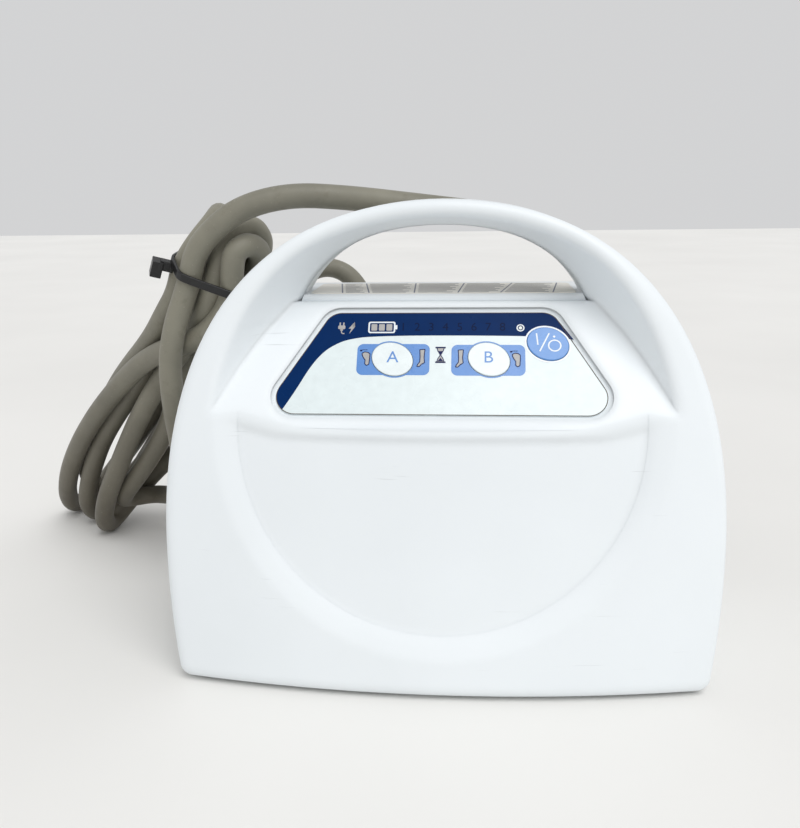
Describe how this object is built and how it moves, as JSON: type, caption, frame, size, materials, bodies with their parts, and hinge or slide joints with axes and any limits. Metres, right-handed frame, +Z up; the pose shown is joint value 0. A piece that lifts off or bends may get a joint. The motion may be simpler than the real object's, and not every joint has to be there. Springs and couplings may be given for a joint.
{
  "type": "compression therapy pump",
  "caption": "Portable bedside air pump for leg compression sleeves: arched two-part case with carrying handle, tilted key panel, air ports, bed hooks and a tied mains cord.",
  "frame": {"origin": "on the table under the middle of the pump without its cord", "axes": "+Z up, +X to the right as the user faces the panel, +Y towards the back of the pump"},
  "size_m": [0.3121, 0.1888, 0.1756],
  "materials": {
    "case": "moulded plastic with a fine satin texture",
    "feet": "moulded rubber",
    "screws": "plated steel",
    "label": "blank printed film",
    "overlay": "printed polyester overlay in navy, white and light blue",
    "keys": "white moulded key",
    "power_key": "light blue moulded key",
    "light_pipe": "clear light pipe",
    "circuit_board": "green laminate",
    "switches": "black switch body",
    "digit_lamps": "red segment lamp",
    "chassis": "bent sheet",
    "brass_parts": "turned brass",
    "components": "moulded packages",
    "supply": "folded metal can",
    "battery": "wrapped cells, as dense as light metal",
    "speaker": "paper cone in a plastic frame",
    "fan": "moulded fan plastic",
    "motor": "plated steel can with windings",
    "shaft": "ground steel",
    "pump": "die-cast housing",
    "manifold": "moulded nylon",
    "coils": "wound coils in steel brackets",
    "tubes": "clear silicone",
    "ports": "deep blue moulding",
    "black_plastic": "black nylon",
    "hook_plastic": "moulded plastic",
    "hook_steel": "plated rod",
    "cord": "grey-brown rubber jacket"
  },
  "bodies": {
    "pump": {"ac_inlet": "black_plastic", "air_tubes": "tubes", "battery_door": "case", "battery_pack": "battery", "board_components": "components", "board_standoffs": "brass_parts", "case_screws": "screws", "chassis_plate": "chassis", "chassis_screws": "screws", "compressor_motor": "motor", "control_overlay": "overlay", "cord_connector": "cord", "cord_hank": "cord", "cord_tie": "black_plastic", "display_board": "circuit_board", "display_digits": "digit_lamps", "fan_frame": "fan", "front_shell": "case", "hook_brackets": "hook_plastic", "key_switches": "switches", "main_board": "circuit_board", "mains_plug": "cord", "plug_blades": "brass_parts", "power_cord_lead": "cord", "power_cord_tail": "cord", "power_supply": "supply", "pump_head": "pump", "pump_mounts": "feet", "rear_case": "case", "rubber_feet": "feet", "speaker": "speaker", "status_light": "light_pipe", "top_label": "label", "tube_port_a": "ports", "tube_port_b": "ports", "valve_coils": "coils", "valve_manifold": "manifold"},
    "button_a": {"button_a": "keys"},
    "button_b": {"button_b": "keys"},
    "button_power": {"button_power": "power_key"},
    "fan_rotor": {"fan_rotor": "fan"},
    "compressor_shaft": {"compressor_shaft": "shaft"},
    "bed_hook_left": {"bed_hook_left": "hook_steel", "hook_sleeve_left": "feet"},
    "bed_hook_right": {"bed_hook_right": "hook_steel", "hook_sleeve_right": "feet"},
    "valve_plunger_1": {"valve_plunger_1": "shaft"},
    "valve_plunger_2": {"valve_plunger_2": "shaft"},
    "valve_plunger_3": {"valve_plunger_3": "shaft"},
    "valve_plunger_4": {"valve_plunger_4": "shaft"},
    "valve_plunger_5": {"valve_plunger_5": "shaft"},
    "valve_plunger_6": {"valve_plunger_6": "shaft"}
  },
  "joints": [
    {"name": "button_a_press", "type": "slide", "parent": "pump", "child": "button_a", "axis": [0, 0.7986, -0.6018], "range_m": [0, 0.0005], "stiffness_N_per_m": 800},
    {"name": "button_b_press", "type": "slide", "parent": "pump", "child": "button_b", "axis": [0, 0.7986, -0.6018], "range_m": [0, 0.0005], "stiffness_N_per_m": 800},
    {"name": "button_power_press", "type": "slide", "parent": "pump", "child": "button_power", "axis": [0, 0.7986, -0.6018], "range_m": [0, 0.0005], "stiffness_N_per_m": 800},
    {"name": "fan_spin", "type": "hinge", "parent": "pump", "child": "fan_rotor", "pos_m": [-0.038, 0.033, 0.08], "axis": [0, 1, 0], "continuous": true},
    {"name": "compressor_spin", "type": "hinge", "parent": "pump", "child": "compressor_shaft", "pos_m": [0.02, -0.025, 0.038], "axis": [1, 0, 0], "continuous": true},
    {"name": "valve_1_lift", "type": "slide", "parent": "pump", "child": "valve_plunger_1", "axis": [0, -1, 0], "range_m": [0, 0.0008], "stiffness_N_per_m": 400},
    {"name": "valve_2_lift", "type": "slide", "parent": "pump", "child": "valve_plunger_2", "axis": [0, -1, 0], "range_m": [0, 0.0008], "stiffness_N_per_m": 400},
    {"name": "valve_3_lift", "type": "slide", "parent": "pump", "child": "valve_plunger_3", "axis": [0, -1, 0], "range_m": [0, 0.0008], "stiffness_N_per_m": 400},
    {"name": "valve_4_lift", "type": "slide", "parent": "pump", "child": "valve_plunger_4", "axis": [0, -1, 0], "range_m": [0, 0.0008], "stiffness_N_per_m": 400},
    {"name": "valve_5_lift", "type": "slide", "parent": "pump", "child": "valve_plunger_5", "axis": [0, -1, 0], "range_m": [0, 0.0008], "stiffness_N_per_m": 400},
    {"name": "valve_6_lift", "type": "slide", "parent": "pump", "child": "valve_plunger_6", "axis": [0, -1, 0], "range_m": [0, 0.0008], "stiffness_N_per_m": 400},
    {"name": "left_hook_swing", "type": "hinge", "parent": "pump", "child": "bed_hook_left", "pos_m": [-0.07, 0.049, 0.094], "axis": [0, 0, 1], "range_deg": [0, 90]},
    {"name": "right_hook_swing", "type": "hinge", "parent": "pump", "child": "bed_hook_right", "pos_m": [0.07, 0.049, 0.094], "axis": [0, 0, -1], "range_deg": [0, 90]}
  ]
}
